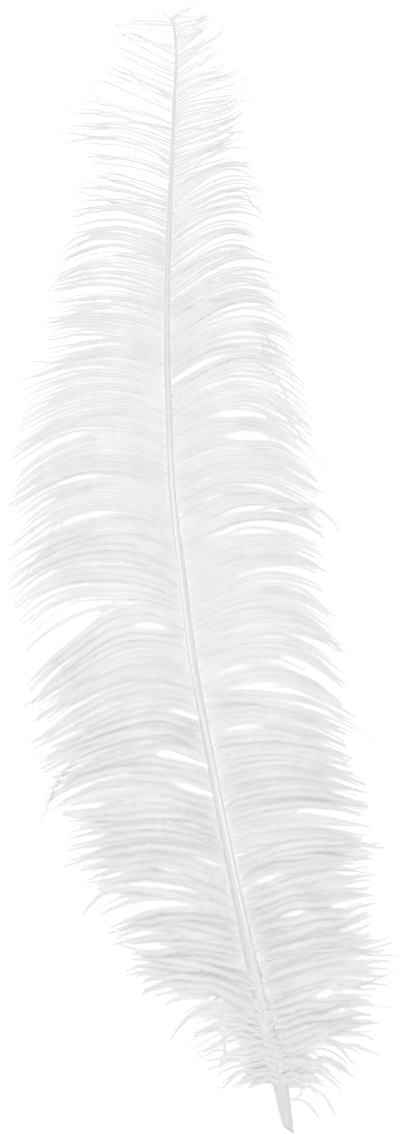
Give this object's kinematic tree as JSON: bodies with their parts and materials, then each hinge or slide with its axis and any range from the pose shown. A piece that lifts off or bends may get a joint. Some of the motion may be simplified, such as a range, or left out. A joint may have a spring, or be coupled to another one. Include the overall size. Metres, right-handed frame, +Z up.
{
  "type": "ostrich feather",
  "caption": "White ostrich plume lying flat: hollow slant-cut quill, furrowed tapering shaft and two soft drooping vanes of loose barbs, for trimming or display.",
  "frame": {"origin": "on the surface the plume lies on, under the middle of its box", "axes": "+Y along the plume from the cut quill to the tip, +Z up from the surface, +X to the right of the shaft; the furrowed underside of the shaft faces +Z"},
  "size_m": [0.1898, 0.5699, 0.0188],
  "materials": {
    "feather": "soft matt white barbs on a satin ivory shaft"
  },
  "bodies": {
    "root": {"feather": "feather"}
  },
  "joints": []
}
